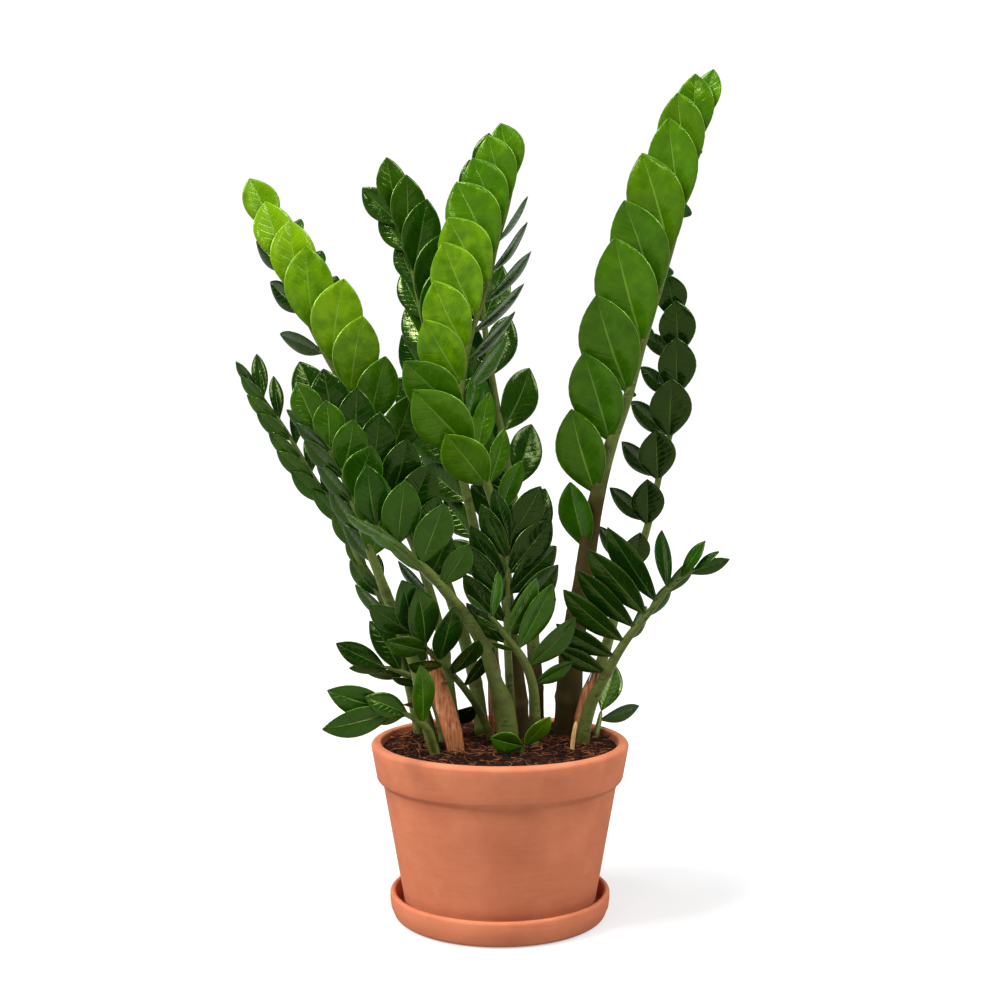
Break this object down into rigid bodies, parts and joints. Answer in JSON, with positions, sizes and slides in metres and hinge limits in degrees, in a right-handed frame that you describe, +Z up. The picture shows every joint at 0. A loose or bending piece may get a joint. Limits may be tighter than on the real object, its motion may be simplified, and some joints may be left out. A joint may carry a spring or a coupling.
{
  "type": "potted zz plant",
  "caption": "Potted ZZ plant: upright fronds of glossy oval leaflets in coir soil, in a terracotta pot with a rim band, standing on a terracotta saucer.",
  "frame": {"origin": "middle of the saucer's flat underside, on the surface that the plant stands on", "axes": "+Z is up, along the pot's axis. -Y is the front, the side seen in the picture. +X is to the viewer's right."},
  "size_m": [0.5076, 0.2943, 0.8897],
  "materials": {
    "terracotta": "unglazed fired clay, matte, faint turning rings and paler salt bloom",
    "coir_soil": "loose dark potting soil with brown coconut fibre",
    "leaf_bright": "waxy new leaves, bright yellow-green with a pale midrib",
    "leaf_green": "waxy leaves, mid green with a pale midrib",
    "leaf_deep": "waxy older leaves, dark green and glossy",
    "stem": "smooth fleshy stem, olive with darker mottling, brown at the old feet",
    "dry_sheath": "papery dry leaf sheath, orange-tan with lengthwise ribs",
    "dry_stub": "dry cut stem end, tan"
  },
  "bodies": {
    "root": {"saucer": "terracotta", "pot": "terracotta", "soil": "coir_soil", "frond_right_tall": "leaf_bright", "frond_right_back": "leaf_deep", "frond_centre_tall": "leaf_bright", "frond_centre_left": "leaf_deep", "frond_back_tall": "leaf_deep", "frond_left_bright": "leaf_bright", "frond_left_dark": "leaf_deep", "frond_front_left": "leaf_green", "frond_left_pale": "leaf_green", "frond_far_left": "leaf_green", "frond_front_small": "leaf_green", "frond_left_thin": "leaf_deep", "frond_left_reach": "leaf_deep", "frond_left_low": "leaf_green", "frond_right_low": "leaf_deep", "frond_centre_small": "leaf_deep", "frond_right_low_back": "leaf_deep", "sprout_front": "leaf_green", "sheath_left": "dry_sheath", "sheath_right": "dry_sheath", "sheath_middle": "dry_sheath", "stub_right": "dry_stub"}
  },
  "joints": []
}
